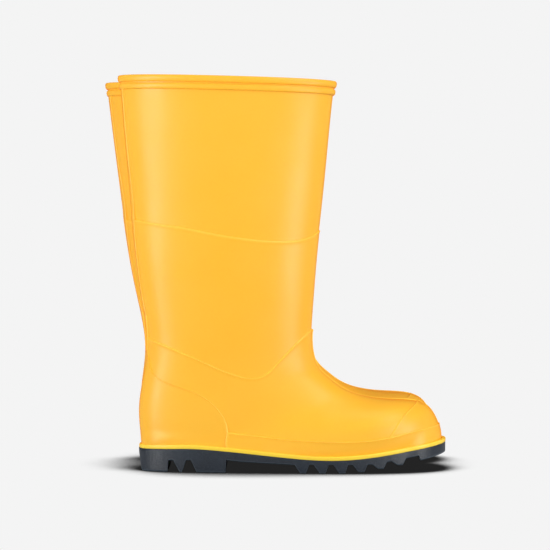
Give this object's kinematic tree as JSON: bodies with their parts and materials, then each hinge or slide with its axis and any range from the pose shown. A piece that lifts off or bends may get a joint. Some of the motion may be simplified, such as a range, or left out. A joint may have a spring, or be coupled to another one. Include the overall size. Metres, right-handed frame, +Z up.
{
  "type": "pair of deck boots",
  "caption": "Knee-length rubber deck boots with a double-bead rim, wrap-round heel and toe panels, a bright welt and a dark lugged outsole.",
  "frame": {"origin": "on the ground, under the middle of the pair's bounding box", "axes": "+X to the toes, +Y to the wearer's left, +Z up"},
  "size_m": [0.304, 0.2, 0.3428],
  "materials": {
    "upper_rubber": "smooth moulded yellow rubber, soft satin sheen",
    "welt_rubber": "smooth bright yellow rubber bead",
    "sole_rubber": "dark navy moulded rubber, fine grain, matt",
    "lining_textile": "fine knitted textile, matt",
    "insole_board": "pressed fibre board, matt",
    "shank_steel": "plain strip steel",
    "footbed_foam": "textile-topped foam, matt"
  },
  "bodies": {
    "right_boot_foot": {"right_ankle_panel": "upper_rubber", "right_back_stay": "upper_rubber", "right_heel_counter": "upper_rubber", "right_vamp": "upper_rubber", "right_toe_cap": "upper_rubber", "right_foxing": "upper_rubber", "right_welt": "welt_rubber", "right_outsole": "sole_rubber", "right_insole_board": "insole_board", "right_shank": "shank_steel", "right_lining": "lining_textile", "right_insole": "footbed_foam"},
    "right_boot_leg": {"right_top_binding": "upper_rubber", "right_leg": "upper_rubber"},
    "left_boot_foot": {"left_ankle_panel": "upper_rubber", "left_back_stay": "upper_rubber", "left_heel_counter": "upper_rubber", "left_vamp": "upper_rubber", "left_toe_cap": "upper_rubber", "left_foxing": "upper_rubber", "left_welt": "welt_rubber", "left_outsole": "sole_rubber", "left_insole_board": "insole_board", "left_shank": "shank_steel", "left_lining": "lining_textile", "left_insole": "footbed_foam"},
    "left_boot_leg": {"left_top_binding": "upper_rubber", "left_leg": "upper_rubber"}
  },
  "joints": [
    {"name": "left_boot_lift", "type": "slide", "parent": "right_boot_foot", "child": "left_boot_foot", "axis": [0, 0, 1], "range_m": [0, 0.4]},
    {"name": "right_ankle_flex", "type": "hinge", "parent": "right_boot_foot", "child": "right_boot_leg", "pos_m": [-0.0393, -0.0505, 0.161], "axis": [0, 1, 0], "range_deg": [-8, 18], "stiffness_Nm_per_rad": 6, "deforming": ["right_ankle_panel", "right_back_stay", "right_lining"]},
    {"name": "left_ankle_flex", "type": "hinge", "parent": "left_boot_foot", "child": "left_boot_leg", "pos_m": [-0.0493, 0.0505, 0.161], "axis": [0, 1, 0], "range_deg": [-8, 18], "stiffness_Nm_per_rad": 6, "deforming": ["left_ankle_panel", "left_back_stay", "left_lining"]}
  ]
}
